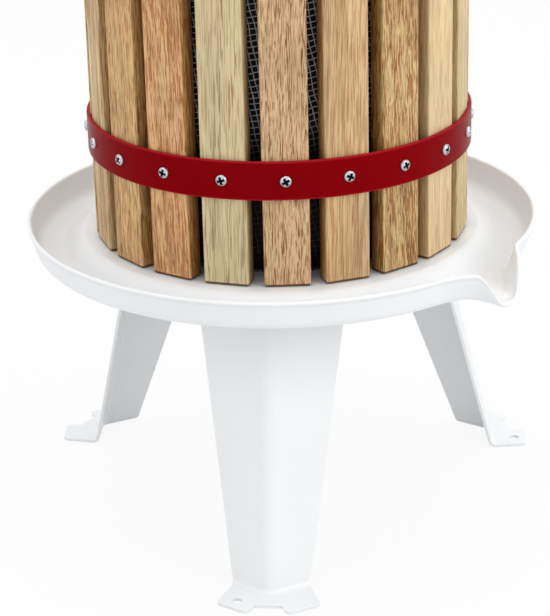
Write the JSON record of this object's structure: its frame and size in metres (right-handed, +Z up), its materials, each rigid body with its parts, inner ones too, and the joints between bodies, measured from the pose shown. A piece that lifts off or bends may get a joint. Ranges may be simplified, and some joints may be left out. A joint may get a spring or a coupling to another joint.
{
  "type": "fruit press",
  "caption": "Fruit press with a basket of oak staves in red hoops, a white spouted tray on folded legs, and a screw head with two arms on a fixed spindle.",
  "frame": {"origin": "on the ground below the spindle's axis, at the middle of the circle through the three foot holes", "axes": "+Z up along the spindle, -Y towards the front leg, +X to the right as seen from the front"},
  "size_m": [0.47, 0.3758, 0.6564],
  "materials": {
    "white_enamel": "satin white powder coat",
    "red_paint": "gloss dark red paint",
    "red_casting": "dark red paint on a casting",
    "oak": "planed, unvarnished oak",
    "beech": "planed beech",
    "zinc_plate": "bright zinc plate",
    "bright_steel": "turned steel",
    "grip_plastic": "moulded black grip",
    "seal_rubber": "flat rubber",
    "bag_net": "open grey net"
  },
  "bodies": {
    "base": {"tray": "white_enamel", "leg_front": "white_enamel", "leg_right": "white_enamel", "leg_left": "white_enamel", "leg_studs": "zinc_plate", "leg_washers": "zinc_plate", "leg_nuts": "zinc_plate", "support_plate": "bright_steel", "spindle": "bright_steel", "spindle_seal": "seal_rubber", "spindle_washer": "zinc_plate", "spindle_nut": "zinc_plate", "press_bag": "bag_net"},
    "basket": {"stave_01": "oak", "stave_02": "oak", "stave_03": "oak", "stave_04": "oak", "stave_05": "oak", "stave_06": "oak", "stave_07": "oak", "stave_08": "oak", "stave_09": "oak", "stave_10": "oak", "stave_11": "oak", "stave_12": "oak", "stave_13": "oak", "stave_14": "oak", "stave_15": "oak", "stave_16": "oak", "stave_17": "oak", "stave_18": "oak", "stave_19": "oak", "stave_20": "oak", "lower_hoop": "red_paint", "upper_hoop": "red_paint", "lower_hoop_screws": "zinc_plate", "upper_hoop_screws": "zinc_plate"},
    "press_stack": {"press_board_left": "oak", "press_board_right": "oak", "lower_block_front": "beech", "lower_block_back": "beech", "upper_block_left": "beech", "upper_block_right": "beech"},
    "press_foot": {"pressure_foot": "red_casting"},
    "handle": {"press_nut": "red_casting", "thrust_washer": "zinc_plate", "retaining_ring": "zinc_plate", "handle_arm_left": "bright_steel", "handle_arm_right": "bright_steel", "arm_pins": "zinc_plate", "grip_left": "grip_plastic", "grip_right": "grip_plastic"}
  },
  "joints": [
    {"name": "basket_lift", "type": "slide", "parent": "base", "child": "basket", "axis": [0, 0, 1], "range_m": [0, 0.03]},
    {"name": "stack_lift", "type": "slide", "parent": "base", "child": "press_stack", "axis": [0, 0, 1], "range_m": [0, 0.175]},
    {"name": "head_travel", "type": "slide", "parent": "base", "child": "press_foot", "axis": [0, 0, 1], "range_m": [-0.0005, 0.0705]},
    {"name": "handle_turn", "type": "hinge", "parent": "press_foot", "child": "handle", "pos_m": [0, 0, 0.5482], "axis": [0, 0, 1], "range_deg": [0, 5040]}
  ],
  "couplings": [
    {"joint": "head_travel", "follows": "handle_turn", "m_per_rad": 0.00079577}
  ]
}
